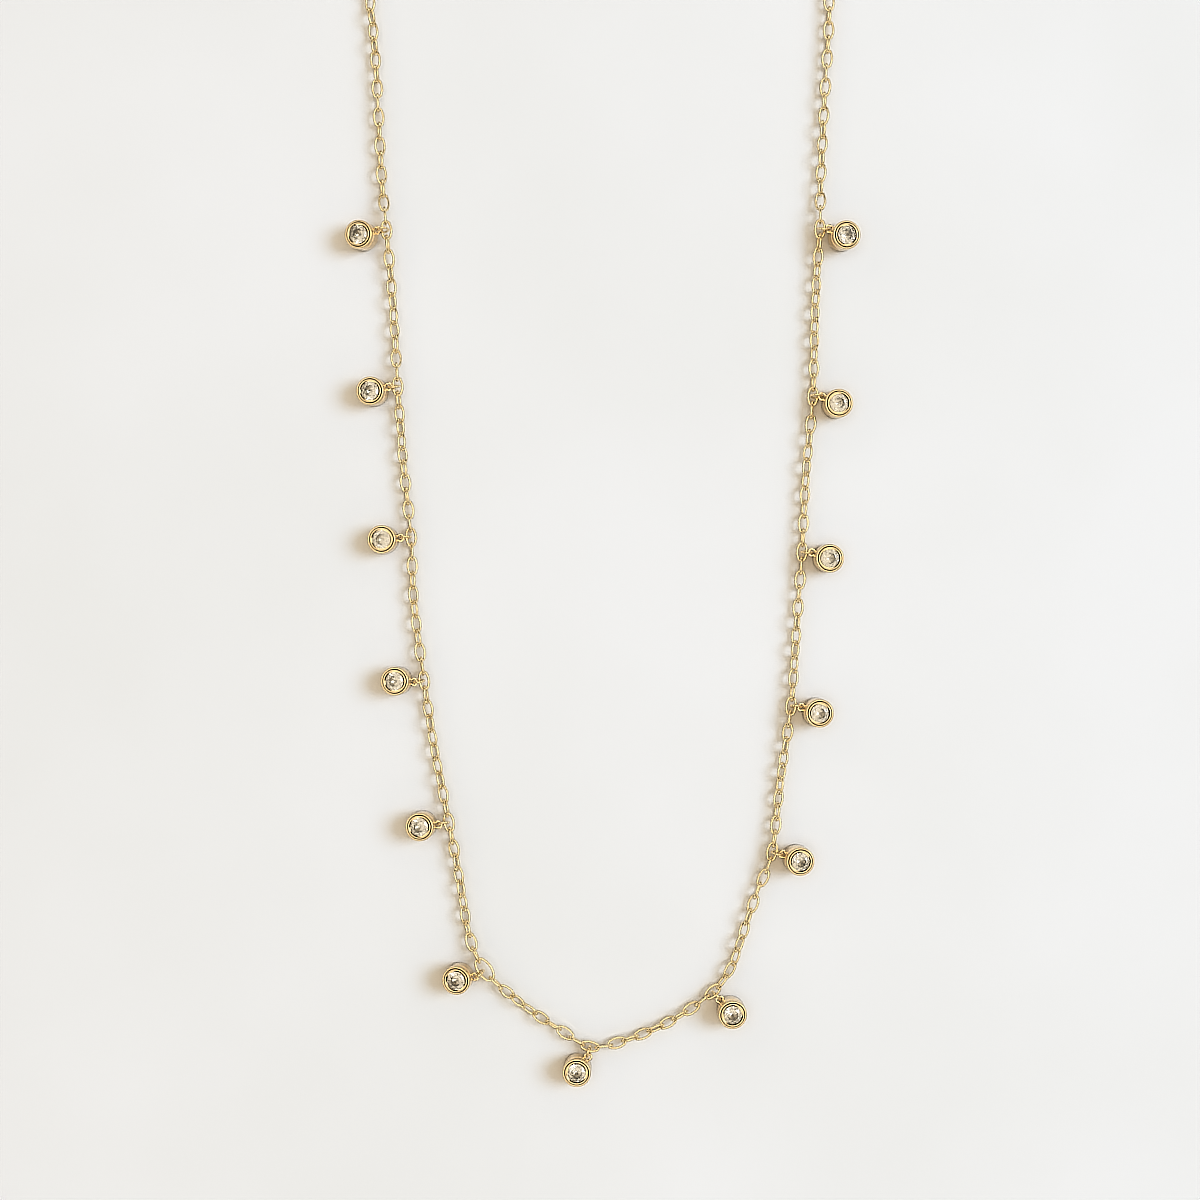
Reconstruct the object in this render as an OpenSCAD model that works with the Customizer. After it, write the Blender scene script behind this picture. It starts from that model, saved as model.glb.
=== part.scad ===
// Station necklace. A fine cable chain carries bezel cups that hang at its outer side
// from small jump rings, and the whole loop lies flat on Z = 0. Millimetres, Z up.

/* [Chain] */
// Outer length of a chain link
link_len = 2.76; // [2.7:0.02:2.9]
// Outer width of a chain link
link_w = 1.64; // [1.56:0.02:1.8]
// Thickness of the chain wire
link_wire = 0.32; // [0.28:0.01:0.34]
// Roundness of a link's ends, as a share of half its width
end_share = 0.76; // [0.6:0.02:0.9]
// Clear space where the wires of two links cross
link_gap = 0.12; // [0.12:0.01:0.16]
// Outer length of the large connector link
connector_len = 3.7; // [3.3:0.1:4.2]
// Outer width of the large connector link
connector_w = 2.2; // [2:0.1:2.6]
// Thickness of the connector link's wire
connector_wire = 0.36; // [0.3:0.01:0.4]
// Radius of the plain arch that closes the loop behind the neck
back_r = 31.4; // [31:0.1:32]
// Length over which the chain rises to a drop and settles again
rise_len = 4.5; // [3:0.5:6]
// How far the links turn about the chain between two drops, in degrees
link_turn = 36; // [0:2:45]

/* [Drops] */
// Outer diameter of a bezel cup
cup_d = 3.9; // [3.6:0.1:4.3]
// Height of a bezel cup
cup_h = 2.9; // [2.7:0.1:3.4]
// Wall of a cup around its stone
cup_wall = 0.52; // [0.49:0.01:0.56]
// Radius of the rounded rim that is pressed over the stone
rim_r = 0.15; // [0.13:0.01:0.16]
// Slope of the bevel inside the rim, in degrees
rim_slope = 33; // [28:1:40]
// How far the lip reaches over the stone
lip = 0.13; // [0.11:0.01:0.16]
// Radius of the round shoulder outside the rim
shoulder_r = 0.19; // [0.17:0.01:0.2]
// How far the shoulder lies below the rim
shoulder_drop = 0.1; // [0.06:0.01:0.14]
// Height of the line cut around a cup
line_z = 1.95; // [1.6:0.05:2.2]
// Width of that line
line_w = 0.16; // [0.1:0.02:0.24]
// Depth of that line
line_depth = 0.07; // [0.04:0.01:0.12]
// Bevel around a cup's foot
foot_bevel = 0.1; // [0.05:0.01:0.2]
// Height of the side loop above a cup's foot
loop_h = 1; // [0.9:0.05:1.3]
// Thickness of the side loop's wire
loop_wire = 0.3; // [0.26:0.01:0.32]
// Outer diameter of a jump ring
ring_d = 1.8; // [1.76:0.02:1.9]
// Thickness of a jump ring's wire
ring_wire = 0.32; // [0.28:0.01:0.34]
// Clear space between a jump ring and what it holds
fit_gap = 0.1; // [0.08:0.01:0.12]

/* [Stones] */
// Clear space around a stone in its cup
stone_gap = 0.05; // [0.03:0.01:0.08]
// How far the table lies below the rim
stone_inset = 0.05; // [0:0.01:0.1]
// Width of the table, as a share of the stone's diameter
table_share = 0.56; // [0.5:0.02:0.62]
// Height of the crown, as a share of the diameter
crown_share = 0.14; // [0.11:0.01:0.17]
// Depth of the pavilion, as a share of the diameter
pavilion_share = 0.4; // [0.34:0.01:0.44]
// Thickness of the girdle
girdle_h = 0.06; // [0.04:0.01:0.1]
// How far out the star facets reach, as a share of the stone's radius
star_share = 0.77; // [0.72:0.01:0.82]
// How far in the lower girdle facets reach, as a share of the stone's radius
lower_share = 0.24; // [0.18:0.01:0.32]

/* [Clasp] */
// Outer diameter of the spring ring
clasp_d = 5.8; // [5.2:0.1:6.4]
// Thickness of the spring ring's tube
clasp_tube = 1.2; // [1:0.05:1.3]
// Outer diameter of the spring ring's own loop
clasp_loop_d = 1.32; // [1.28:0.02:1.44]
// Thickness of that loop's wire
clasp_loop_wire = 0.36; // [0.3:0.02:0.4]
// Outer diameter of the ring that the clasp closes on
end_ring_d = 3.36; // [3.2:0.04:3.6]
// Thickness of that ring's wire
end_ring_wire = 0.36; // [0.3:0.02:0.4]
// Lean of that ring from flat, in degrees
end_ring_lean = 55; // [50:1:60]
// Clear space between that ring and the clasp's tube
clasp_gap = 0.2; // [0.15:0.01:0.3]

/* [Hidden] */
// Chosen points of the chain, down the left strand and up the right one. The third
// value is 1 where a drop hangs, and the back arch joins the first and last points.
ROUTE = [
    [-31.5, 53.1, 0], [-31.0, 46.2, 0], [-30.7, 40.2, 0], [-30.3, 32.3, 0],
    [-29.6, 25.5, 1], [-28.7, 14.0, 0], [-28.1, 4.2, 1], [-27.4, -5.8, 0],
    [-26.3, -16.4, 1], [-25.9, -25.5, 0], [-24.5, -36.0, 1], [-23.1, -45.5, 0],
    [-21.1, -55.4, 1], [-19.7, -63.1, 0], [-18.3, -71.0, 0], [-16.2, -75.5, 1],
    [-13.2, -78.6, 0], [-9.6, -81.4, 0], [-5.9, -83.8, 0], [-1.8, -86.1, 1],
    [2.6, -85.4, 0], [8.1, -83.2, 0], [12.2, -80.8, 0], [15.0, -78.6, 1],
    [16.8, -76.5, 0], [18.0, -74.1, 0], [18.9, -71.3, 0], [21.1, -64.9, 0],
    [23.1, -59.4, 1], [24.3, -49.4, 0], [25.7, -39.5, 1], [26.5, -28.4, 0],
    [27.2, -18.4, 1], [27.8, -7.2, 0], [28.7, 2.9, 1], [29.0, 14.7, 0],
    [29.6, 25.7, 1], [29.8, 33.2, 0], [30.3, 43.5, 0], [30.8, 51.7, 0]
];
// Middle of the back arch
BACK = [-0.5, 57.2];
// Where the middle of the whole loop lies among these points
MIDDLE = [-0.1, 0.2];
// Which drop hangs from the connector link, counted from 0
CONNECTOR_AT = 5;
// One row for each drop: how far its ring has slid outward, as a share of its play,
// the cup's lean outward, the cup's swing about its loop and the ring's lean, in degrees
DROPS = [
    [0, 11, 13, 12],
    [0, 8, 14, -14],
    [0.65, 3, 2, 8],
    [0.5, 6, -12, -10],
    [0.6, 6, -8, 15],
    [0.4, 8, -30, -8],
    [0.4, 3, -30, 14],
    [0.5, 3, 0, -12],
    [0.5, 6, -8, 10],
    [0.5, 5, -12, -15],
    [0.4, 4, -18, 9],
    [0.1, 3, -25, -12],
    [0, 9, -24, 14]
];
SLACK = 0;
LEAN = 1;
SWING = 2;
RING_LEAN = 3;
COUNT = len(DROPS);
TURN_SIDES = 48;
WIRE_SIDES = 24;
// How far a link's sides reach into its ends, and how much thinner they are there. The
// bevel of a cup's rim lies under its round by as much.
seam_len = 0.04;
seam_step = 0.01;
// How far the rounds of a cup's rim and shoulder run into each other
round_overlap = 0.05;
// Play of a jump ring in a cup's loop, and a link's at a joint with a larger piece, both
// as shares of the clear space named for them
LOOP_PLAY = 1.5;
JOINT_PLAY = 0.7;
// Depth to which a soldered ring sinks into what it is soldered to
solder = 0.05;

// Sizes that follow from the ones above
pitch_max = link_len - 2 * link_wire - link_gap;
rest_z = link_w / 2;
cup_r = cup_d / 2;
bore_r = cup_r - cup_wall;
stone_r = bore_r - stone_gap;
table_r = stone_r * table_share;
crown_h = 2 * stone_r * crown_share;
pavilion_h = 2 * stone_r * pavilion_share;
girdle_top = cup_h - stone_inset - crown_h;
girdle_low = girdle_top - girdle_h;
ring_r = (ring_d - ring_wire) / 2;
loop_hole_r = ring_wire / 2 + LOOP_PLAY * fit_gap;
loop_r = loop_hole_r + loop_wire / 2;
// Height between a held link and the loop above it, half of it on each side of the ring
hang = (link_wire + loop_wire) / 2 + fit_gap;
// From the middle of a joint with one of the larger pieces to that piece's wire
joint_gap = JOINT_PLAY * link_gap;
connector_reach = connector_len / 2 - connector_wire - joint_gap;

// The clasp's pieces, measured along X from the middle of its own loop
clasp_r = (clasp_d - clasp_tube) / 2;
clasp_loop_r = (clasp_loop_d - clasp_loop_wire) / 2;
clasp_x = clasp_r + clasp_tube / 2 + clasp_loop_r - clasp_loop_wire / 2 - solder;
end_ring_r = (end_ring_d - end_ring_wire) / 2;
end_ring_z = end_ring_r * sin(end_ring_lean) + end_ring_wire / 2;
clasp_lean = atan2(end_ring_z - rest_z, clasp_x + clasp_r - clasp_tube);
end_ring_x = (clasp_x + clasp_r) * cos(clasp_lean) + end_ring_r
    - (clasp_tube + end_ring_wire) / 2 - clasp_gap;
span_a = clasp_loop_r - clasp_loop_wire / 2 - joint_gap;
span_b = end_ring_x + end_ring_r - end_ring_wire / 2 - joint_gap;
half_span = (span_a + span_b) / 2;
back = BACK - MIDDLE;
clasp_at = back + [span_a - half_span, sqrt(back_r * back_r - half_span * half_span)];

// The route in plan: back arch, chosen points, back arch, joined by smooth curves
arch_turn = 90 - asin(half_span / back_r);
function arch(a) = [back[0] + back_r * cos(a), back[1] + back_r * sin(a), 0];
arch_steps = 7;
arch_left = [for (i = [0:arch_steps]) arch(180 - arch_turn + arch_turn * i / arch_steps)];
arch_right = [for (i = [0:arch_steps]) arch(arch_turn * i / arch_steps)];
points = concat(arch_left, [for (p = ROUTE) p - [MIDDLE[0], MIDDLE[1], 0]], arch_right);
last = len(points) - 1;

function smooth(a, b, c, d, t) =
    0.5 * (2 * b + (c - a) * t + (2 * a - 5 * b + 4 * c - d) * t * t
    + (3 * b - a - 3 * c + d) * t * t * t);
steps = 8;
plan = concat(
    [for (i = [0:last - 1], s = [0:steps - 1])
        smooth(points[max(i - 1, 0)], points[i], points[i + 1], points[min(i + 2, last)],
            s / steps)],
    [points[last]]);
function flat(p) = [p[0], p[1]];
function runs(list) = [for (i = 0, s = 0; i < len(list);
    s = s + (i + 1 < len(list) ? norm(list[i + 1] - list[i]) : 0), i = i + 1) s];
plan_run = runs([for (p = plan) flat(p)]);
drop_index = [for (i = [0:last]) if (points[i][2] == 1) i * steps];

// Heights: a drop lifts its link so that the ring between them is free
function loop_z(n) = loop_h * cos(DROPS[n][LEAN])
    + (cup_d + loop_hole_r) * sin(DROPS[n][LEAN]);
function loop_rise(n) = hang / 2 - loop_r * sin(DROPS[n][LEAN]);
function held_z(n) = loop_z(n) - loop_rise(n) - hang / 2;
// The held link stays level and the chain falls away beyond its ends
function level(n) = n == CONNECTOR_AT ? connector_reach : link_len / 2 - link_wire;
function bump(d) = d < rise_len ? (1 + cos(180 * max(d, 0) / rise_len)) / 2 : 0;
function lift_at(s) =
    [for (n = [0:COUNT - 1]) (held_z(n) - rest_z)
        * bump(abs(s - plan_run[drop_index[n]]) - level(n))]
    * [for (n = [0:COUNT - 1]) 1]
    + (end_ring_z - rest_z) * bump(plan_run[len(plan_run) - 1] - s);
line = [for (i = [0:len(plan) - 1]) [plan[i][0], plan[i][1], rest_z + lift_at(plan_run[i])]];
run = runs(line);
run_x = [for (i = [0:len(line) - 1]) [run[i], line[i][0]]];
run_y = [for (i = [0:len(line) - 1]) [run[i], line[i][1]]];
run_z = [for (i = [0:len(line) - 1]) [run[i], line[i][2]]];
function at(s) = [lookup(s, run_x), lookup(s, run_y), lookup(s, run_z)];
function drop_run(n) = run[drop_index[n]];
total_run = run[len(run) - 1];

// Stretches of chain. Each row: start, end, whether the start and end are joints with
// another piece (0.5) or the middle of a held link (0), and the roll wanted there
function stretch_start(i) = i == 0 ? 0 : i <= CONNECTOR_AT + 1
    ? drop_run(i - 1) + (i == CONNECTOR_AT + 1 ? connector_reach : 0) : drop_run(i - 1);
function stretch_end(i) = i == COUNT ? total_run
    : drop_run(i) - (i == CONNECTOR_AT ? connector_reach : 0);
STRETCHES = [for (i = [0:COUNT]) [
    stretch_start(i),
    stretch_end(i),
    i == 0 || i == CONNECTOR_AT + 1 ? 0.5 : 0,
    i == COUNT || i == CONNECTOR_AT ? 0.5 : 0,
    i == 0 || i == CONNECTOR_AT + 1 ? 90 : 0,
    i == COUNT ? 90 - end_ring_lean : i == CONNECTOR_AT ? 90 : 0
]];
START = 0;
END = 1;
HEAD = 2;
TAIL = 3;
ROLL_A = 4;
ROLL_B = 5;
function links(i) = let (r = STRETCHES[i])
    ceil((r[END] - r[START]) / pitch_max - r[HEAD] - r[TAIL]);
function pitch(i) = let (r = STRETCHES[i])
    (r[END] - r[START]) / (links(i) + r[HEAD] + r[TAIL]);
// Each link is turned a quarter from the one before. A stretch also twists a little, so
// that both its ends suit what they meet, and swings to and fro about the chain: in full
// where it twists little, less where it twists much, and twice over in the long back parts.
FULL_SWING = 1;
BACK_SWING = 0.7;
TWISTED_SWING = 0.3;
MUCH_TWIST = 45;
function half_turn(a) = a - 180 * round(a / 180);
function twist(i) = let (r = STRETCHES[i]) half_turn(r[ROLL_B] - 90 * links(i) - r[ROLL_A]);
function is_back(i) = i == 0 || i == COUNT;
function swing(i) = link_turn * (is_back(i) ? BACK_SWING
    : abs(twist(i)) < MUCH_TWIST ? FULL_SWING : TWISTED_SWING);
function swing_phase(i) = is_back(i) ? 720 : 180;
function roll(i, k) = let (n = links(i))
    90 * k + STRETCHES[i][ROLL_A] + twist(i) * k / n
    + swing(i) * (i % 2 == 0 ? 1 : -1) * sin(swing_phase(i) * k / n);

function heading(v) = [0, -atan2(v[2], norm(flat(v))), atan2(v[1], v[0])];

module bent_wire(r, half_angle, wire) {
    rotate([0, 0, -half_angle])
        rotate_extrude(angle = 2 * half_angle, $fn = TURN_SIDES)
            translate([r, 0]) circle(wire / 2, $fn = WIRE_SIDES);
}

// An oval of four arcs of wire, lying flat with its length along X
module oval_link(length, width, wire) {
    a = (length - wire) / 2;
    b = (width - wire) / 2;
    e = end_share * b;
    side = (a * a + b * b - 2 * e * a) / (2 * (b - e));
    half_angle = atan2(a - e, side - b);
    union() {
        for (s = [0, 180]) rotate([0, 0, s]) {
            translate([a - e, 0, 0]) bent_wire(e, 90 - half_angle, wire);
            translate([0, b - side, 0]) rotate([0, 0, 90])
                bent_wire(side, half_angle + seam_len / side * 180 / PI, wire - seam_step);
        }
    }
}

module wire_ring(r, wire) {
    rotate_extrude($fn = TURN_SIDES) translate([r, 0]) circle(wire / 2, $fn = WIRE_SIDES);
}

module stretch(i) {
    p = pitch(i);
    count = links(i) + (STRETCHES[i][TAIL] > 0 ? 1 : 0);
    for (k = [0:count - 1]) {
        s = STRETCHES[i][START] + (k + STRETCHES[i][HEAD]) * p;
        translate(at(s)) rotate(heading(at(s + p / 2) - at(s - p / 2)))
            rotate([roll(i, k), 0, 0]) oval_link(link_len, link_w, link_wire);
    }
}

module chain_left() {
    color("#d9b56c") for (i = [0:CONNECTOR_AT]) stretch(i);
}

module chain_right() {
    color("#d9b56c") for (i = [CONNECTOR_AT + 1:COUNT]) stretch(i);
}

module connector_link() {
    s = drop_run(CONNECTOR_AT);
    color("#d9b56c") translate(at(s))
        rotate(heading(at(s + connector_reach) - at(s - connector_reach)))
            oval_link(connector_len, connector_w, connector_wire);
}

// The frame of a drop: X points outward from the held link's middle, in the level plane
function along(n) = let (s = drop_run(n)) at(s + 1) - at(s - 1);
function outward(n) = atan2(along(n)[1], along(n)[0]) - 90;
// Half width and wire of the link that holds drop n
function held_b(n) = n == CONNECTOR_AT ? (connector_w - connector_wire) / 2
    : (link_w - link_wire) / 2;
function held_wire(n) = n == CONNECTOR_AT ? connector_wire : link_wire;
// How far the link's wire may lie inward of the ring's middle
function room(n) = sqrt(pow(ring_r - (ring_wire + held_wire(n)) / 2 - fit_gap, 2)
    - hang * hang / 4);
function chord(h) = sqrt(ring_r * ring_r - h * h);
function ring_back(n) = min(room(n),
    2 * held_b(n) - (held_wire(n) + ring_wire) / 2 - fit_gap - chord(hang / 2));
function ring_out(n) = held_b(n) - ring_back(n)
    + DROPS[n][SLACK] * (ring_back(n) + room(n));
function loop_out(n) = ring_out(n) + chord(loop_rise(n));

module in_drop(n) {
    translate(at(drop_run(n))) rotate([0, 0, outward(n)]) children();
}

module jump_ring(n) {
    color("#d9b56c") in_drop(n)
        translate([ring_out(n), 0, hang / 2])
            rotate([90 + DROPS[n][RING_LEAN], 0, 0]) wire_ring(ring_r, ring_wire);
}

// Puts a cup or stone, drawn upright on its foot, at its place in drop n
module in_cup(n) {
    in_drop(n) translate([loop_out(n), 0, hang / 2 + loop_rise(n)])
        rotate([0, 0, DROPS[n][SWING]]) rotate([0, DROPS[n][LEAN], 0])
            translate([cup_r + loop_hole_r, 0, -loop_h]) children();
}

// Half the angle between two of a stone's eight main facets
turn = 22.5;
// Heights of the seat under the stone and of the lip's underside, at radius r
pavilion_slope = pavilion_h / stone_r;
crown_slope = crown_h / (stone_r - table_r);
function seat_z(r) = girdle_low - pavilion_h + r * pavilion_slope * cos(turn)
    - stone_gap * sqrt(1 + pavilion_slope * pavilion_slope);
function lip_z(r) = girdle_top + (stone_r - r) * crown_slope
    + stone_gap * sqrt(1 + crown_slope * crown_slope);

// Half a cup's section. The rounds of rim and shoulder meet in a fine groove, and the
// bevel inside the rim starts just under the rim's round.
module cup_profile() {
    shoulder = [cup_r - shoulder_r, cup_h - shoulder_drop - shoulder_r];
    rim = [shoulder[0] - shoulder_r - rim_r + round_overlap, cup_h - rim_r];
    open_r = stone_r - lip;
    bevel_r = rim[0] - (rim_r - seam_step) * sin(rim_slope);
    bevel_z = rim[1] + (rim_r - seam_step) * cos(rim_slope);
    polygon([
        [0, 0], [cup_r - foot_bevel, 0], [cup_r, foot_bevel],
        [cup_r, line_z - line_w / 2], [cup_r - line_depth, line_z],
        [cup_r, line_z + line_w / 2], [cup_r, shoulder[1]], shoulder, rim, [bevel_r, bevel_z],
        [open_r, bevel_z - (bevel_r - open_r) * tan(rim_slope)],
        [open_r, lip_z(open_r)], [bore_r, lip_z(bore_r)],
        [bore_r, seat_z(bore_r)], [0, seat_z(0)]
    ]);
    translate(shoulder) circle(shoulder_r, $fn = WIRE_SIDES);
    translate(rim) circle(rim_r, $fn = WIRE_SIDES);
}

module cup(n) {
    color("#d9b56c") in_cup(n) union() {
        rotate_extrude($fn = TURN_SIDES) cup_profile();
        translate([-cup_r - loop_hole_r, 0, loop_h]) wire_ring(loop_r, loop_wire);
    }
}

// Brilliant cut. The table's corners and the girdle's are in line with the main facets,
// and the corners between them lie where neighbouring main facets meet.
module stone(n) {
    thin = 0.004;
    culet_share = 0.015;
    star_r = stone_r * star_share;
    star_z = girdle_top + crown_h * (stone_r - star_r * cos(turn)) / (stone_r - table_r);
    main_z = girdle_low - pavilion_h;
    lower_z = main_z + pavilion_h * lower_share * cos(turn);
    culet_z = main_z + pavilion_h * culet_share * cos(turn);
    color("#e9ebe8") in_cup(n) hull() {
        translate([0, 0, girdle_top + crown_h - thin]) rotate([0, 0, turn])
            cylinder(h = thin, r = table_r, $fn = 8);
        translate([0, 0, star_z - thin]) cylinder(h = thin, r = star_r, $fn = 8);
        translate([0, 0, girdle_low]) cylinder(h = girdle_h, r = stone_r, $fn = 16);
        translate([0, 0, lower_z]) cylinder(h = thin, r = stone_r * lower_share, $fn = 8);
        translate([0, 0, culet_z]) cylinder(h = thin, r = stone_r * culet_share, $fn = 8);
    }
}

module clasp() {
    color("#d9b56c") translate([clasp_at[0], clasp_at[1], rest_z])
        rotate([0, -clasp_lean, 0]) union() {
            wire_ring(clasp_loop_r, clasp_loop_wire);
            translate([clasp_x, 0, 0]) wire_ring(clasp_r, clasp_tube);
        }
}

module end_ring() {
    color("#d9b56c") translate([clasp_at[0] + end_ring_x, clasp_at[1], end_ring_z])
        rotate([end_ring_lean, 0, 0]) wire_ring(end_ring_r, end_ring_wire);
}

function name(word, n) = str(word, n < 9 ? "_0" : "_", n + 1);

chain_left();
chain_right();
connector_link();
clasp();
end_ring();
for (n = [0:COUNT - 1]) {
    cup(n);
    stone(n);
    jump_ring(n);
}
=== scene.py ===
# %% [markdown]
# # A station necklace under soft light
#
# The real piece is a short necklace of pale yellow metal: a fine cable chain, and at its
# outer side thirteen little bezel cups, each with a clear cut stone. This lesson dresses
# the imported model. The chain, the cups and the rings are modelled again with Blender's
# own tools, because their roundness is what the eye reads as metal. The stones and the
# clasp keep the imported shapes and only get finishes.

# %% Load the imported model
import math

import bpy
import numpy as np
from mathutils import Matrix, Vector


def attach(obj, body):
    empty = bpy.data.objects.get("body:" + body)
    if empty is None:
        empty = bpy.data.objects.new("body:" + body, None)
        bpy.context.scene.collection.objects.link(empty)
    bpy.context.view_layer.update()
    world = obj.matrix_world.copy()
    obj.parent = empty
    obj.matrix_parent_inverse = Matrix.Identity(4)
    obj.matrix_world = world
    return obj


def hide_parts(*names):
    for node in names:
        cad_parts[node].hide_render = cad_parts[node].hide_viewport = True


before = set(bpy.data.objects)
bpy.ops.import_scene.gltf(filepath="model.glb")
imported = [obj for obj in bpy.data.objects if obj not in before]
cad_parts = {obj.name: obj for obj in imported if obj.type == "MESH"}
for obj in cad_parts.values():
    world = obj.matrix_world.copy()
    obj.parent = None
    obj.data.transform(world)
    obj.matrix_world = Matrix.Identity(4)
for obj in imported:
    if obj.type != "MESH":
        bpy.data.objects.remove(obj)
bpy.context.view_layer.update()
MM = 0.001
bpy.ops.object.select_all(action="DESELECT")

# %% [markdown]
# The photograph looks straight down from close by. Its frame is about 164 mm wide at the
# height of the chain, and the picture's middle lies a little below the middle of the
# loop. A 50 mm lens on a 36 mm sensor gives that width from 229 mm up. The camera also
# has to see things nearer than Blender's usual 100 mm, because the whole necklace is
# small.

# %% Camera
VIEW_MIDDLE = (-0.34 * MM, -25.2 * MM)
CAMERA_HEIGHT = 229 * MM
bpy.ops.object.camera_add(location=(*VIEW_MIDDLE, CAMERA_HEIGHT), rotation=(0, 0, 0))
camera = bpy.context.object
camera.data.lens = 50
camera.data.sensor_width = 36
camera.data.clip_start = 10 * MM
bpy.context.scene.camera = camera
print("camera sees", round(camera.data.sensor_width / camera.data.lens
                           * CAMERA_HEIGHT / MM, 1), "mm")

# %% [markdown]
# The necklace lies on a smooth pale board. The board is far larger than the picture, so
# that it also fills the low side views. Its paint drifts very slightly between two greys,
# as real paint does. Every material here starts from the same empty shader and takes its
# variety from a noise in the object's own coordinates, so both are helpers. Such a noise
# seldom leaves the middle of its range, so a ramp of two tones spans only that.

# %% Floor
BOARD_W = 4
NOISE_SPAN = (0.35, 0.65)


def new_material(name):
    """An empty node material: the material, its nodes, its links and its shader."""
    material = bpy.data.materials.new(name)
    material.use_nodes = True
    nodes, links = material.node_tree.nodes, material.node_tree.links
    nodes.clear()
    shader = nodes.new("ShaderNodeBsdfPrincipled")
    output = nodes.new("ShaderNodeOutputMaterial")
    links.new(shader.outputs["BSDF"], output.inputs["Surface"])
    return material, nodes, links, shader


def noise(nodes, links, scale, detail):
    """A soft noise that stays on the object. Its node is the result's .node."""
    place = nodes.new("ShaderNodeTexCoord")
    pattern = nodes.new("ShaderNodeTexNoise")
    pattern.inputs["Scale"].default_value = scale
    pattern.inputs["Detail"].default_value = detail
    links.new(place.outputs["Object"], pattern.inputs["Vector"])
    return pattern.outputs["Fac"]


def two_tones(nodes, links, pattern, low, high):
    """One colour where the noise is low, another where it is high."""
    ramp = nodes.new("ShaderNodeValToRGB")
    for stop, position, colour in zip(ramp.color_ramp.elements, NOISE_SPAN, (low, high)):
        stop.position = position
        stop.color = (*colour, 1)
    links.new(pattern, ramp.inputs["Fac"])
    return ramp.outputs["Color"]


bpy.ops.mesh.primitive_plane_add(size=BOARD_W, location=(0, 0, 0))
floor = bpy.context.object
floor.name = "board"
board, nodes, links, shader = new_material("painted board")
mottle = noise(nodes, links, scale=18, detail=3)
links.new(two_tones(nodes, links, mottle, (0.737, 0.727, 0.76), (0.764, 0.754, 0.795)),
          shader.inputs["Base Color"])
shader.inputs["Roughness"].default_value = 0.7
floor.data.materials.append(board)
print("board is", BOARD_W, "m wide")

# %% [markdown]
# Polished metal shows what is round it more than its own colour, so the room matters
# more here than any lamp. It is painted on the world in layers. Each layer lies over the
# last through a mask, which fades by height above the horizon or round one direction.

# %% Masks and layers for the room
scene = bpy.context.scene
scene.view_settings.view_transform = "Standard"
room = bpy.data.worlds.new("studio room")
scene.world = room
room.use_nodes = True
nodes, links = room.node_tree.nodes, room.node_tree.links
nodes.clear()
direction = nodes.new("ShaderNodeTexCoord").outputs["Generated"]


def fade(value, none, full):
    """0 where the value is none, 1 where it is full, smooth between."""
    edge = nodes.new("ShaderNodeMapRange")
    edge.interpolation_type = "SMOOTHSTEP"
    edge.inputs["From Min"].default_value = none
    edge.inputs["From Max"].default_value = full
    links.new(value, edge.inputs["Value"])
    return edge.outputs["Result"]


def above(low, high):
    """0 below one height over the horizon, 1 above another, in degrees."""
    split = nodes.new("ShaderNodeSeparateXYZ")
    links.new(direction, split.inputs["Vector"])
    return fade(split.outputs["Z"], math.sin(math.radians(low)),
                math.sin(math.radians(high)))


def around(towards, inner, outer):
    """1 within inner degrees of a direction, 0 beyond outer degrees."""
    facing = nodes.new("ShaderNodeVectorMath")
    facing.operation = "DOT_PRODUCT"
    facing.inputs[1].default_value = Vector(towards).normalized()
    links.new(direction, facing.inputs[0])
    return fade(facing.outputs["Value"], math.cos(math.radians(outer)),
                math.cos(math.radians(inner)))


def layer(under, mask, colour):
    """The colour laid over what is under it where the mask is 1."""
    mix = nodes.new("ShaderNodeMix")
    mix.data_type = "RGBA"
    links.new(mask, mix.inputs["Factor"])
    if isinstance(under, tuple):
        mix.inputs["A"].default_value = (*under, 1)
    else:
        links.new(under, mix.inputs["A"])
    mix.inputs["B"].default_value = (*colour, 1)
    return mix.outputs["Result"]


print(room.name, "is shown with the", scene.view_settings.view_transform, "view")

# %% [markdown]
# The room is dim and warm near the floor. Then a bright band runs round it, a brown gap
# follows, and a large soft light hangs overhead. Metal that faces up therefore looks like
# cream, the bevels inside the rims catch the band, and metal that leans away turns brown,
# which draws the fine lines round the rims and along the links. A pale patch stands where
# the window is. The camera itself sees only an even pale backdrop.

# %% Room
NEAR_FLOOR = (0.07, 0.04, 0.015)
BAND = (1.85, 1.68, 1.29)
BROWN_GAP = (0.12, 0.075, 0.03)
OVERHEAD = (1.85, 1.70, 1.36)
WINDOW_PATCH = (1.9, 1.85, 1.7)
BACKDROP = (1.16, 1.16, 1.13)
TOWARDS_WINDOW = (1, 0.15, 0.89)
ROOM_STRENGTH = 0.75

light = layer(NEAR_FLOOR, above(13, 18), BAND)
light = layer(light, above(31, 36), BROWN_GAP)
light = layer(light, above(50, 60), OVERHEAD)
light = layer(light, around(TOWARDS_WINDOW, 8, 18), WINDOW_PATCH)
light = layer(light, nodes.new("ShaderNodeLightPath").outputs["Is Camera Ray"], BACKDROP)
sky = nodes.new("ShaderNodeBackground")
sky.inputs["Strength"].default_value = ROOM_STRENGTH
links.new(light, sky.inputs["Color"])
links.new(sky.outputs["Background"],
          nodes.new("ShaderNodeOutputWorld").inputs["Surface"])
print("the room is made of", len(nodes), "nodes")

# %% [markdown]
# A cool window from the right casts the soft shadows. It is large, which keeps their
# edges soft, and far off, which keeps the board evenly lit. It is hidden from
# reflections, where the pale patch of the room stands for it, so that no rim gets a
# harsh glint.

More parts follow.
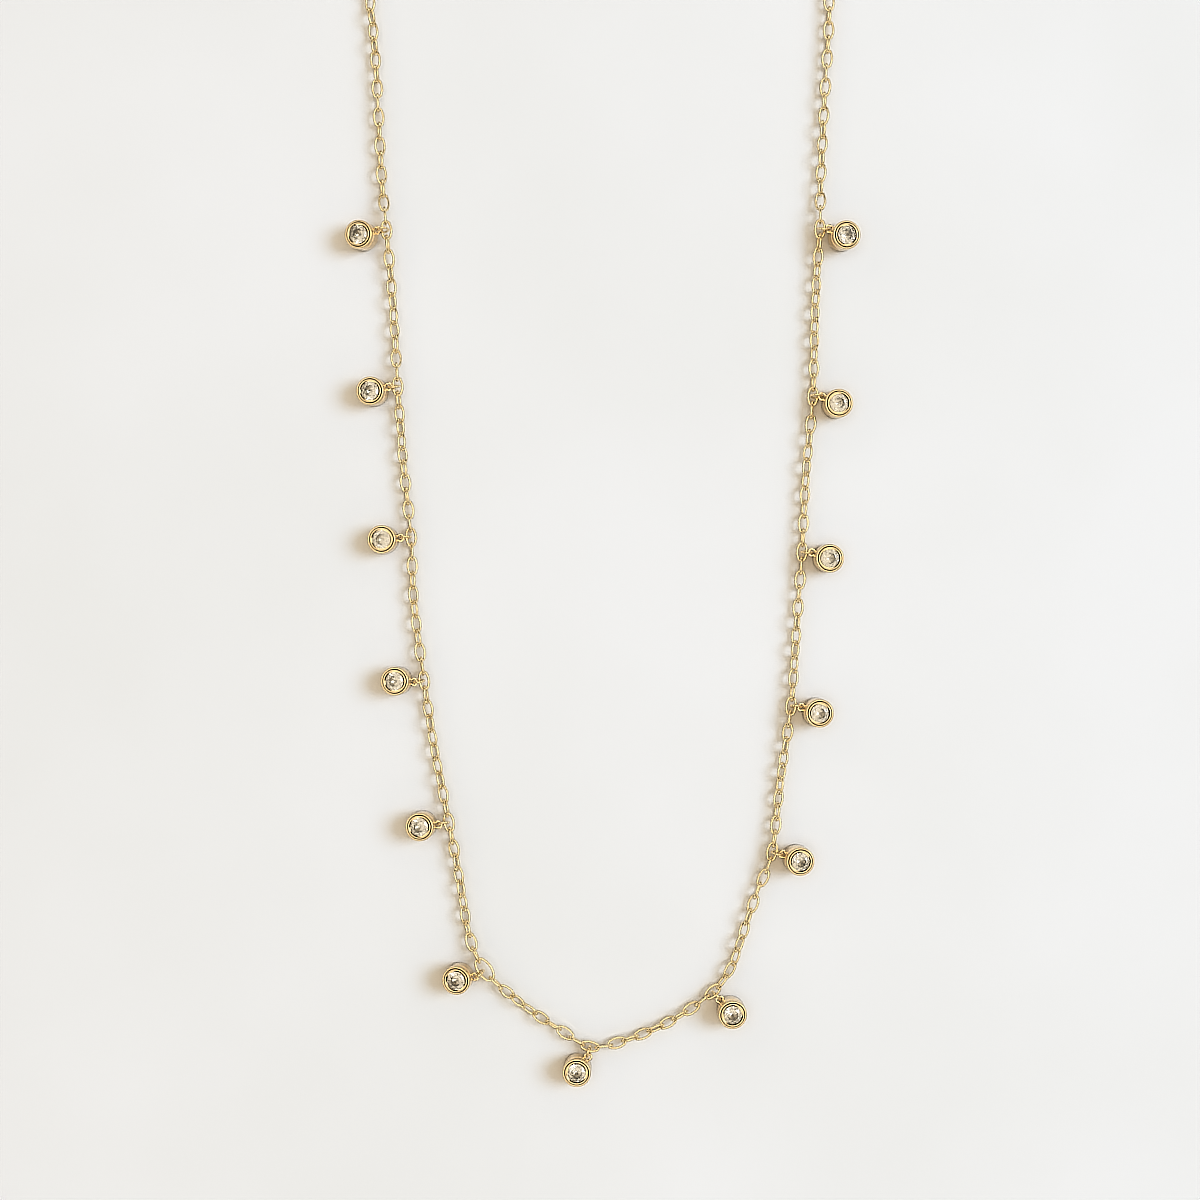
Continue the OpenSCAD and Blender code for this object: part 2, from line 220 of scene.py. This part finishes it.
# %% Window
WINDOW_AT = (1.78, 0.28, 1.60)
WINDOW_W = 1.4
bpy.ops.object.light_add(type="AREA", location=WINDOW_AT)
window = bpy.context.object
window.data.shape = "DISK"
window.data.size = WINDOW_W
window.data.color = (0.60, 0.79, 1.0)
window.data.energy = 46
window.rotation_euler = window.location.to_track_quat("Z", "Y").to_euler()
window.visible_camera = window.visible_glossy = False
print("window is", round(window.location.length, 2), "m away")

# %% [markdown]
# Wear and a painted shade are effects that every metal piece here shares: the colour drifts
# a little between pale and deep, fine rubbing dulls the shine in places, and painted shade
# darkens the gold wherever a mesh has a groove marked on it, as shade falls in a recess. It
# is one node group, placed in each metal with its own values.

# %% Wear and painted groove shade, as a node group
# The colour of the painted shade in a marked groove.
GROOVE_SHADE_COLOUR = (0.14, 0.08, 0.03)
wear_and_groove_shade = bpy.data.node_groups.new("wear and groove shade", "ShaderNodeTree")
for name, kind in (("Pale", "Color"), ("Deep", "Color"), ("Patch size", "Float"),
                   ("Shine", "Float"), ("Rubbed", "Float"), ("Groove", "Float")):
    wear_and_groove_shade.interface.new_socket(name, in_out="INPUT", socket_type="NodeSocket" + kind)
for name, kind in (("Colour", "Color"), ("Roughness", "Float"), ("Height", "Float")):
    wear_and_groove_shade.interface.new_socket(name, in_out="OUTPUT", socket_type="NodeSocket" + kind)
nodes, links = wear_and_groove_shade.nodes, wear_and_groove_shade.links
given = nodes.new("NodeGroupInput")
made = nodes.new("NodeGroupOutput")
drift = noise(nodes, links, scale=1, detail=4)
rubs = noise(nodes, links, scale=9000, detail=2)
colour = nodes.new("ShaderNodeMix")
# This mix paints shade into the gold where the groove mark is.
groove_shade_mix = nodes.new("ShaderNodeMix")
colour.data_type = groove_shade_mix.data_type = "RGBA"
groove_shade_mix.inputs["B"].default_value = (*GROOVE_SHADE_COLOUR, 1)
rough = nodes.new("ShaderNodeMath")
rough.operation = "MULTIPLY_ADD"
for source, socket in ((given.outputs["Patch size"], drift.node.inputs["Scale"]),
                       (drift, colour.inputs["Factor"]),
                       (given.outputs["Pale"], colour.inputs["A"]),
                       (given.outputs["Deep"], colour.inputs["B"]),
                       (given.outputs["Groove"], groove_shade_mix.inputs["Factor"]),
                       (colour.outputs["Result"], groove_shade_mix.inputs["A"]),
                       (rubs, rough.inputs[0]),
                       (given.outputs["Rubbed"], rough.inputs[1]),
                       (given.outputs["Shine"], rough.inputs[2]),
                       (groove_shade_mix.outputs["Result"], made.inputs["Colour"]),
                       (rough.outputs["Value"], made.inputs["Roughness"]),
                       (rubs, made.inputs["Height"])):
    links.new(source, socket)
print(wear_and_groove_shade.name, "takes", [socket.name for socket in given.outputs if socket.name])

# %% [markdown]
# The chain's wire and the cups are both polished pale gold. The photograph shows the cups
# a little deeper and warmer than the wire, so each has a gold of its own. The group does
# the wear and the painted shade in grooves, and its height also moves the normals by a
# hair.

# %% Two golds
BUMP_DEPTH = 0.02 * MM
BUMP_STRENGTH = 0.05


def gold(name, pale, deep, patches, shine, rubbed):
    """A polished pale gold with its own colours and wear, and painted shade in its marked
    grooves.
    """
    material, nodes, links, shader = new_material(name)
    wear_and_shade = nodes.new("ShaderNodeGroup")
    wear_and_shade.node_tree = wear_and_groove_shade
    for socket, value in (("Pale", (*pale, 1)), ("Deep", (*deep, 1)),
                          ("Patch size", patches), ("Shine", shine), ("Rubbed", rubbed)):
        wear_and_shade.inputs[socket].default_value = value
    # The groove mark tells the group where to paint shade into the gold.
    mark = nodes.new("ShaderNodeAttribute")
    mark.attribute_name = "groove"
    links.new(mark.outputs["Fac"], wear_and_shade.inputs["Groove"])
    bump = nodes.new("ShaderNodeBump")
    bump.inputs["Strength"].default_value = BUMP_STRENGTH
    bump.inputs["Distance"].default_value = BUMP_DEPTH
    links.new(wear_and_shade.outputs["Colour"], shader.inputs["Base Color"])
    links.new(wear_and_shade.outputs["Roughness"], shader.inputs["Roughness"])
    links.new(wear_and_shade.outputs["Height"], bump.inputs["Height"])
    links.new(bump.outputs["Normal"], shader.inputs["Normal"])
    shader.inputs["Metallic"].default_value = 1
    return material


chain_gold = gold("chain gold", pale=(0.97, 0.86, 0.61), deep=(0.88, 0.72, 0.43),
                  patches=400, shine=0.06, rubbed=0.10)
cup_gold = gold("cup gold", pale=(0.92, 0.79, 0.57), deep=(0.77, 0.60, 0.36),
                patches=300, shine=0.05, rubbed=0.10)
print("metals:", chain_gold.name, "and", cup_gold.name)

# %% [markdown]
# The stones are clear, but they don't sparkle much: the photograph shows them soft, as
# small stones look when the gold behind them glows through and the skin's oil has dulled
# them. A faint cloudiness varies both the tint and the polish.

# %% Clear stone
STONE_IOR = 1.77
crystal, nodes, links, shader = new_material("clear cut stone")
cloud = noise(nodes, links, scale=1500, detail=3)
haze = nodes.new("ShaderNodeMapRange")
haze.inputs["To Min"].default_value = 0.16
haze.inputs["To Max"].default_value = 0.24
links.new(cloud, haze.inputs["Value"])
links.new(two_tones(nodes, links, cloud, (0.68, 0.68, 0.71), (0.78, 0.79, 0.82)),
          shader.inputs["Base Color"])
links.new(haze.outputs["Result"], shader.inputs["Roughness"])
shader.inputs["IOR"].default_value = STONE_IOR
shader.inputs["Transmission Weight"].default_value = 1
print(crystal.name, "bends light by", STONE_IOR)

# %% [markdown]
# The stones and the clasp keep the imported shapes, so a finish is all that they need. The
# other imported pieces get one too, although the pieces modelled below take their places.

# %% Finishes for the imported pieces
def coat(piece, material):
    """The piece has this one finish and no other."""
    piece.data.materials.clear()
    piece.data.materials.append(material)


for node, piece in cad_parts.items():
    if node.startswith("stone"):
        coat(piece, crystal)
    elif node.startswith("cup"):
        coat(piece, cup_gold)
    else:
        coat(piece, chain_gold)
print("stones:", sum(node.startswith("stone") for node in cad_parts))

# %% [markdown]
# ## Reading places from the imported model
#
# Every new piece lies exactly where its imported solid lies. A solid's middle and its long,
# wide and thin directions come from its own faces, each counted by its area. That is
# enough to place a link or a ring, because both look the same from either side.

# %% Where a solid lies
WELD = 0.001 * MM


def only(piece):
    """Nothing but this piece is selected, and the tools act on it."""
    bpy.ops.object.select_all(action="DESELECT")
    piece.select_set(True)
    bpy.context.view_layer.objects.active = piece


def merged_copy(node):
    """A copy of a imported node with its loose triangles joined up."""
    copy = bpy.data.objects.new(node + "_copy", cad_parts[node].data.copy())
    scene.collection.objects.link(copy)
    only(copy)
    bpy.ops.object.mode_set(mode="EDIT")
    bpy.ops.mesh.select_all(action="SELECT")
    bpy.ops.mesh.remove_doubles(threshold=WELD)
    bpy.ops.object.mode_set(mode="OBJECT")
    return copy


def numbers(items, what, width):
    """One attribute of all of a mesh's vertices or faces, as rows of numbers."""
    values = np.empty(len(items) * width)
    items.foreach_get(what, values)
    return values.reshape(-1, width)


def lie_of(solid):
    """Its place, with X, Y and Z along its long, wide and thin ways, and its size."""
    faces = solid.data.polygons
    centres, areas = numbers(faces, "center", 3), numbers(faces, "area", 1)
    middle = (centres * areas).sum(axis=0) / areas.sum()
    spread = ((centres - middle) * areas).T @ (centres - middle)
    wide, long = np.linalg.eigh(spread)[1].T[1:]
    axes = np.array([long, wide, np.cross(long, wide)])
    reach = (numbers(solid.data.vertices, "co", 3) - middle) @ axes.T
    place = Matrix(axes.T.tolist()).to_4x4()
    place.translation = Vector(middle)
    return place, reach.max(axis=0) - reach.min(axis=0)


def clear_away(pieces):
    """Pieces that only served for measuring or copying go, with their meshes."""
    for piece in pieces:
        mesh = piece.data
        bpy.data.objects.remove(piece)
        bpy.data.meshes.remove(mesh)


def lies_in(node):
    """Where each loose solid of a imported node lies."""
    only(merged_copy(node))
    bpy.ops.mesh.separate(type="LOOSE")
    solids = list(bpy.context.selected_objects)
    found = [lie_of(solid) for solid in solids]
    clear_away(solids)
    return found


lies = {}
for node in ("chain_left", "chain_right", "connector_link"):
    lies[node] = lies_in(node)
    print(node, len(lies[node]), "links, largest size in mm:",
          np.round(np.max([size for place, size in lies[node]], axis=0) / MM, 3))

# %% [markdown]
# ## Chain links
#
# A chain link is a short length of round wire, wound on an oval rod and soldered shut. The
# same can be done here: a small circle is the wire's section, and spinning it round four
# centres in turn bends the oval, two tight arcs at the ends and two flat ones at the
# sides. The tight ends get most of the steps, so a link stays round with few faces. That
# matters, because there are more than two hundred of them. A section with few sides is
# drawn a little larger, so that it has the area of the round wire.

# %% Bend an oval of wire
END_SHARE = 0.76
CLOSE_UP = 0.01 * MM


def tell_size(piece):
    """Print how many faces a piece has, and its size."""
    print(piece.name, "faces", len(piece.data.polygons), "size in mm",
          [round(value / MM, 3) for value in piece.dimensions])


def bend_oval(name, size, end_steps, side_steps, wire_sides):
    """A flat oval of round wire at the origin, with its length along X."""
    length, width, wire = (float(value) for value in size)
    long_half, short_half = (length - wire) / 2, (width - wire) / 2
    end_r = END_SHARE * short_half
    end_x = long_half - end_r
    side_r = (end_x ** 2 + short_half ** 2 - end_r ** 2) / (2 * (short_half - end_r))
    side_turn = 2 * math.atan2(end_x, side_r - short_half)
    end_turn = math.pi - side_turn
    start = (end_x + end_r * math.cos(end_turn / 2), -end_r * math.sin(end_turn / 2), 0)
    flat_wire = math.sqrt(wire_sides / (2 * math.pi) * math.sin(2 * math.pi / wire_sides))
    bpy.ops.object.select_all(action="DESELECT")
    bpy.ops.mesh.primitive_circle_add(vertices=wire_sides, radius=wire / 2 / flat_wire,
                                      location=start,
                                      rotation=(math.pi / 2, math.pi / 2, -end_turn / 2))
    link = bpy.context.object
    link.name = link.data.name = name
    bpy.ops.object.mode_set(mode="EDIT")
    for x, y, turn, steps in ((end_x, 0, end_turn, end_steps),
                              (0, short_half - side_r, side_turn, side_steps),
                              (-end_x, 0, end_turn, end_steps),
                              (0, side_r - short_half, side_turn, side_steps)):
        bpy.ops.mesh.spin(steps=steps, angle=-turn, center=(x, y, 0), axis=(0, 0, 1))
    bpy.ops.mesh.select_all(action="SELECT")
    bpy.ops.mesh.remove_doubles(threshold=CLOSE_UP)
    bpy.ops.mesh.normals_make_consistent(inside=False)
    bpy.ops.object.mode_set(mode="OBJECT")
    bpy.ops.object.transform_apply(location=True, rotation=True, scale=True)
    bpy.ops.object.shade_smooth()
    tell_size(link)
    return link


link_size = np.max([size for node in ("chain_left", "chain_right")
                    for place, size in lies[node]], axis=0)
link = bend_oval("link", link_size, end_steps=5, side_steps=3, wire_sides=5)

# %% [markdown]
# One link serves for both strands. Each copy has a mesh of its own, which is moved to its
# place within the object, so the finished strand stays at the origin. All copies of a
# strand are then joined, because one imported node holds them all. The large connector link
# is bent with more steps, because it stands alone and shows more.

# %% Lay the links along the chain
def copy_to(template, name, place):
    """A copy with its own mesh, moved to its place within that mesh."""
    copy = bpy.data.objects.new(name, template.data.copy())
    copy.data.transform(place)
    scene.collection.objects.link(copy)
    return copy


def join(pieces, name):
    """Several pieces as one object."""
    only(pieces[0])
    for piece in pieces[1:]:
        piece.select_set(True)
    bpy.ops.object.join()
    pieces[0].name = pieces[0].data.name = name
    return pieces[0]


def finish_piece(piece, material, slot, *nodes):
    """A new piece gets its finish, rides on the necklace and stands for its nodes."""
    coat(piece, material)
    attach(piece, "root")
    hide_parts(*nodes)


for node in ("chain_left", "chain_right"):
    strand = join([copy_to(link, "link_copy", place) for place, size in lies[node]],
                  node + "_links")
    finish_piece(strand, chain_gold, "chain_gold", node)
    tell_size(strand)
clear_away([link])

place, size = lies["connector_link"][0]
connector = bend_oval("connector", size, end_steps=12, side_steps=5, wire_sides=12)
connector.data.transform(place)
finish_piece(connector, chain_gold, "chain_gold", "connector_link")

# %% [markdown]
# ## Rings
#
# A jump ring is one turn of round wire, closed where its two ends meet. A torus of the
# ring's own size is the start. Two cuts close to one of its sections, and that section
# pinched in by a hair, give the fine line that the closed joint leaves on the real ring.
# The ring that the clasp closes on is made the same way.

# %% Jump rings and end ring
HAIR_SHARE = 0.06
PINCH = 0.86


def closed_ring(name, size, turn_steps, wire_sides):
    """A ring of round wire, flat at the origin, with the hairline of its joint."""
    outer, wire = float(size[0] + size[1]) / 2, float(size[2])
    middle_r, hair = (outer - wire) / 2, HAIR_SHARE * wire
    bpy.ops.object.select_all(action="DESELECT")
    bpy.ops.mesh.primitive_torus_add(major_radius=middle_r, minor_radius=wire / 2,
                                     major_segments=turn_steps, minor_segments=wire_sides)
    ring = bpy.context.object
    ring.name = ring.data.name = name
    bpy.ops.object.mode_set(mode="EDIT")
    for side in (-hair, hair):
        bpy.ops.mesh.select_all(action="SELECT")
        bpy.ops.mesh.bisect(plane_co=(0, side, 0), plane_no=(0, 1, 0))
    bpy.ops.mesh.select_all(action="DESELECT")
    bpy.ops.object.mode_set(mode="OBJECT")
    for vertex in ring.data.vertices:
        vertex.select = abs(vertex.co.y) < hair / 2 and vertex.co.x > 0
    bpy.ops.object.mode_set(mode="EDIT")
    bpy.ops.transform.resize(value=(PINCH, 1, PINCH), center_override=(middle_r, 0, 0))
    bpy.ops.object.mode_set(mode="OBJECT")
    bpy.ops.object.shade_smooth()
    tell_size(ring)
    return ring


ring_nodes = sorted(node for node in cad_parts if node.startswith("jump_ring"))
for node in ring_nodes + ["end_ring"]:
    lies[node] = lies_in(node)
ring_size = np.mean([lies[node][0][1] for node in ring_nodes], axis=0)
ring = closed_ring("ring", ring_size, turn_steps=32, wire_sides=10)
for node in ring_nodes:
    finish_piece(copy_to(ring, node + "_wire", lies[node][0][0]),
                 chain_gold, "chain_gold", node)
clear_away([ring])

place, size = lies["end_ring"][0]
end_ring = closed_ring("end_ring_wire", size, turn_steps=48, wire_sides=12)
end_ring.data.transform(place)
finish_piece(end_ring, chain_gold, "chain_gold", "end_ring")

# %% [markdown]
# ## Bezel cups
#
# A bezel cup is turned on a lathe, or pressed and then trimmed on one: it is round, with
# a bevelled foot, a fine line cut round its wall, and a rounded rim that is pushed over
# the stone inside a round shoulder. The side loop is a small wire ring, soldered to the
# wall.
#
# The cup is measured first. Its foot is its largest flat face, which gives the middle and
# the axis, and what stands out beyond the wall shows which side the loop is on.

# %% Measure the cups
NEAR_FOOT = 0.2
NEARLY_ALL = 99
BEYOND_WALL = 1.05


def foot_of(cup):
    """The middle of the foot, and the direction up from it."""
    faces = cup.data.polygons
    centres, areas = numbers(faces, "center", 3), numbers(faces, "area", 1)
    normals = np.round(numbers(faces, "normal", 3), 3)
    kind = np.unique(normals, axis=0, return_inverse=True)[1].reshape(-1)
    foot = kind == np.bincount(kind, weights=areas[:, 0]).argmax()
    middle = (centres[foot] * areas[foot]).sum(axis=0) / areas[foot].sum()
    return middle, -normals[foot][0] / np.linalg.norm(normals[foot][0])


def lie_of_cup(cup):
    """Its place, with Z up its axis and X away from the side loop, and its sizes."""
    middle, up = foot_of(cup)
    corners = numbers(cup.data.vertices, "co", 3) - middle
    heights = corners @ up
    aside = corners - np.outer(heights, up)
    radii = np.linalg.norm(aside, axis=1)
    wall_r = np.percentile(radii[heights < NEAR_FOOT * heights.max()], NEARLY_ALL)
    outside = radii > BEYOND_WALL * wall_r
    loop, loop_z = aside[outside], heights[outside]
    away = -loop.mean(axis=0)
    away /= np.linalg.norm(away)
    across = np.cross(up, away)
    place = Matrix(np.array([away, across, up]).T.tolist()).to_4x4()
    place.translation = Vector(middle)
    size = {"radius": wall_r, "height": heights.max(), "reach": radii.max(),
            "loop_z": (loop_z.max() + loop_z.min()) / 2,
            "loop_wire": loop_z.max() - loop_z.min(),
            "loop_width": np.ptp(loop @ across)}
    return place, size


cup_nodes = sorted(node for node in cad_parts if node.startswith("cup"))
for node in cup_nodes:
    copy = merged_copy(node)
    lies[node] = lie_of_cup(copy)
    clear_away([copy])
cup_size = {key: float(np.mean([lies[node][1][key] for node in cup_nodes]))
            for key in lies[cup_nodes[0]][1]}
print("cup sizes in mm:", {key: round(value / MM, 3) for key, value in cup_size.items()})

# %% [markdown]
# A lathe is a spin, so half of the cup's section is all that has to be drawn. It starts
# at the middle of the foot and goes up the outside, over the shoulder and the rim, and
# down the bevel to the opening. Under the lip it runs out to the bore and down the cone
# that the stone sits over. Shoulder and rim are two arcs that meet in a fine groove.

# %% The section of a cup
FOOT_BEVEL = 0.1 * MM
LINE_DOWN = 0.95 * MM
LINE_W = 0.16 * MM
LINE_DEPTH = 0.07 * MM
LINE_SHAPE = (0, 0.7, 1, 0.7, 0)
SHOULDER_R = 0.19 * MM
SHOULDER_DROP = 0.1 * MM
RIM_R = 0.15 * MM
RIM_SLOPE = 33
OVERLAP = 0.05 * MM
OPENING_R = 1.25 * MM
LIP_UNDER = 0.294 * MM
LIP_OUTER_UNDER = 0.41 * MM
BORE_R = 1.43 * MM
SEAT_TOP = 0.607 * MM
SEAT_MIDDLE = 1.664 * MM
BEVEL_STEPS = 3
ROUND_STEPS = 9


def arc(middle, radius, start, end, steps):
    """Points of a section along part of a circle, at angles in degrees."""
    turns = [math.radians(start + (end - start) * step / steps)
             for step in range(steps + 1)]
    return [(middle[0] + radius * math.cos(turn), middle[1] + radius * math.sin(turn))
            for turn in turns]


def meeting(low, low_r, high, high_r):
    """Where two rounds meet, as the angle there on each of them, in degrees."""
    apart = math.dist(low, high)
    lean = math.degrees(math.atan2(high[1] - low[1], high[0] - low[0]))
    near = math.degrees(math.acos((low_r ** 2 + apart ** 2 - high_r ** 2)
                                  / (2 * low_r * apart)))
    far = math.degrees(math.acos((high_r ** 2 + apart ** 2 - low_r ** 2)
                                 / (2 * high_r * apart)))
    return lean - near, lean - 180 + far


cup_r, cup_h = cup_size["radius"], cup_size["height"]
foot = arc((cup_r - FOOT_BEVEL, FOOT_BEVEL), FOOT_BEVEL, -90, 0, BEVEL_STEPS)
line = [(cup_r - depth * LINE_DEPTH, cup_h - LINE_DOWN + quarter * LINE_W / 4)
        for quarter, depth in zip(range(-2, 3), LINE_SHAPE)]
shoulder_middle = (cup_r - SHOULDER_R, cup_h - SHOULDER_DROP - SHOULDER_R)
rim_middle = (shoulder_middle[0] - SHOULDER_R - RIM_R + OVERLAP, cup_h - RIM_R)
shoulder_end, rim_start = meeting(shoulder_middle, SHOULDER_R, rim_middle, RIM_R)
shoulder = arc(shoulder_middle, SHOULDER_R, 0, shoulder_end, ROUND_STEPS)
rim = arc(rim_middle, RIM_R, rim_start, 90 + RIM_SLOPE, ROUND_STEPS)
groove_r, groove_z = rim[0]
bevel_drop = (rim[-1][0] - OPENING_R) * math.tan(math.radians(RIM_SLOPE))
inside = [(OPENING_R, rim[-1][1] - bevel_drop), (OPENING_R, cup_h - LIP_UNDER),
          (BORE_R, cup_h - LIP_OUTER_UNDER), (BORE_R, cup_h - SEAT_TOP),
          (0, cup_h - SEAT_MIDDLE)]
section = [(0, 0)] + foot + line + shoulder + rim[1:] + inside
print("the section has", len(section), "points, its groove is",
      round((cup_h - groove_z) / MM, 3), "mm below the rim")

# %% [markdown]
# The section is drawn point by point, each extruded from the last, and spun round the
# cup's axis. Shade falls in the groove between shoulder and rim, so the mesh is marked
# there, and the gold is painted darker where the mark is: a painted shade.

# %% Turn a cup
TURN_STEPS = 48
# Within the first distance of the groove the painted shade is full, and by the second it
# has faded out.
GROOVE_SHADE_FULL = 0.042 * MM
GROOVE_SHADE_END = 0.112 * MM


def draw_section(name, points):
    """A line in the XZ plane, each point extruded from the one before."""
    bpy.ops.object.select_all(action="DESELECT")
    bpy.ops.mesh.primitive_plane_add(size=MM, location=(points[0][0], 0, points[0][1]))
    line = bpy.context.object
    line.name = line.data.name = name
    bpy.ops.object.mode_set(mode="EDIT")
    bpy.ops.mesh.merge(type="CENTER")
    for (r0, z0), (r1, z1) in zip(points, points[1:]):
        bpy.ops.mesh.extrude_region_move(
            TRANSFORM_OT_translate={"value": (r1 - r0, 0, z1 - z0)})
    bpy.ops.object.mode_set(mode="OBJECT")
    bpy.ops.object.transform_apply(location=True, rotation=True, scale=True)
    return line


def turn_on_lathe(line, steps):
    """The section spun once round the Z axis and closed."""
    only(line)
    bpy.ops.object.mode_set(mode="EDIT")
    bpy.ops.mesh.select_all(action="SELECT")
    bpy.ops.mesh.spin(steps=steps, angle=2 * math.pi, center=(0, 0, 0), axis=(0, 0, 1))
    bpy.ops.mesh.select_all(action="SELECT")
    bpy.ops.mesh.remove_doubles(threshold=WELD)
    bpy.ops.mesh.normals_make_consistent(inside=False)
    bpy.ops.object.mode_set(mode="OBJECT")


cup = draw_section("cup", section)
turn_on_lathe(cup, TURN_STEPS)
corners = numbers(cup.data.vertices, "co", 3)
# The groove mark for the painted shade: 1 in the groove, fading to 0 away from it.
from_groove = np.hypot(np.hypot(corners[:, 0], corners[:, 1]) - groove_r,
                       corners[:, 2] - groove_z)
mark = cup.data.attributes.new("groove", "FLOAT", "POINT")
mark.data.foreach_set("value", np.interp(from_groove, (GROOVE_SHADE_FULL, GROOVE_SHADE_END), (1, 0)))
tell_size(cup)

# %% [markdown]
# The side loop is a small torus that reaches a little into the wall, as solder holds it
# there. Smoothing by angle keeps the edges of the foot and the opening crisp and the
# rounds round. The finished cup is then copied to its thirteen places.

# %% Side loops, and all the cups
CRISP_ABOVE = 30
loop_wire = cup_size["loop_wire"]
loop_r = cup_size["loop_width"] / 2 - loop_wire / 2
loop_x = -(cup_size["reach"] - loop_r - loop_wire / 2)
bpy.ops.object.select_all(action="DESELECT")
bpy.ops.mesh.primitive_torus_add(location=(loop_x, 0, cup_size["loop_z"]),
                                 major_radius=loop_r, minor_radius=loop_wire / 2,
                                 major_segments=28, minor_segments=10)
loop = bpy.context.object
bpy.ops.object.transform_apply(location=True, rotation=True, scale=True)
cup = join([cup, loop], "cup")
only(cup)
bpy.ops.object.shade_smooth_by_angle(angle=math.radians(CRISP_ABOVE))
tell_size(cup)
for node in cup_nodes:
    finish_piece(copy_to(cup, node + "_bezel", lies[node][0]), cup_gold, "cup_gold", node)
clear_away([cup])

# %% [markdown]
# The photograph was sharpened, which draws a fine dark line round the bright wire, and the
# board glows a little warm beside the metal. The same is done to the picture here. Light
# brighter than white is held to white first. The filter then sharpens a grey copy, in
# tones as the eye sees them, and the picture is made lighter or darker by what that
# changed, so that no coloured fringe appears. Last, the colour of a blurred copy, with
# its brightness left out, is laid over the picture like a thin coloured glass.

# %% Sharpen
DISPLAY_GAMMA = 2.2
CRISPNESS = 0.28
GLOW_REACH = 22
GLOW_SHARE = 0.55
WHITE = (1, 1, 1, 1)

scene.use_nodes = True
nodes, links = scene.node_tree.nodes, scene.node_tree.links
nodes.clear()


def step(kind, image, **values):
    """The image after one more node, with that node's values set."""
    node = nodes.new("CompositorNode" + kind)
    links.new(image, next(socket for socket in node.inputs
                          if socket.name in ("Image", "Value")))
    for name, value in values.items():
        node.inputs[name].default_value = value
    return node.outputs[0]


def blend(kind, share, under, over):
    """Two images or colours mixed in one way, the upper one by its share."""
    mix = nodes.new("CompositorNodeMixRGB")
    mix.blend_type = kind
    mix.inputs["Fac"].default_value = share
    for socket, image in ((mix.inputs[1], under), (mix.inputs[2], over)):
        if isinstance(image, tuple):
            socket.default_value = image
        else:
            links.new(image, socket)
    return mix.outputs["Image"]


picture = nodes.new("CompositorNodeRLayers").outputs["Image"]
held = blend("MIX", 0, picture, WHITE)
held.node.use_clamp = True
grey = step("RGBToBW", held)
crisp = step("Filter", step("Gamma", grey, Gamma=1 / DISPLAY_GAMMA), Fac=CRISPNESS)
crisp.node.filter_type = "SHARPEN"
change = step("Math", step("Gamma", crisp, Gamma=DISPLAY_GAMMA))
change.node.operation = "DIVIDE"
links.new(grey, change.node.inputs[1])
sharp = blend("MULTIPLY", 1, held, change)
soft = step("Blur", held)
soft.node.filter_type = "GAUSS"
soft.node.size_x = soft.node.size_y = GLOW_REACH
glass = blend("COLOR", 1, WHITE, soft)
links.new(blend("MULTIPLY", GLOW_SHARE, sharp, glass),
          nodes.new("CompositorNodeComposite").inputs["Image"])
print("the picture passes through", len(nodes), "nodes")
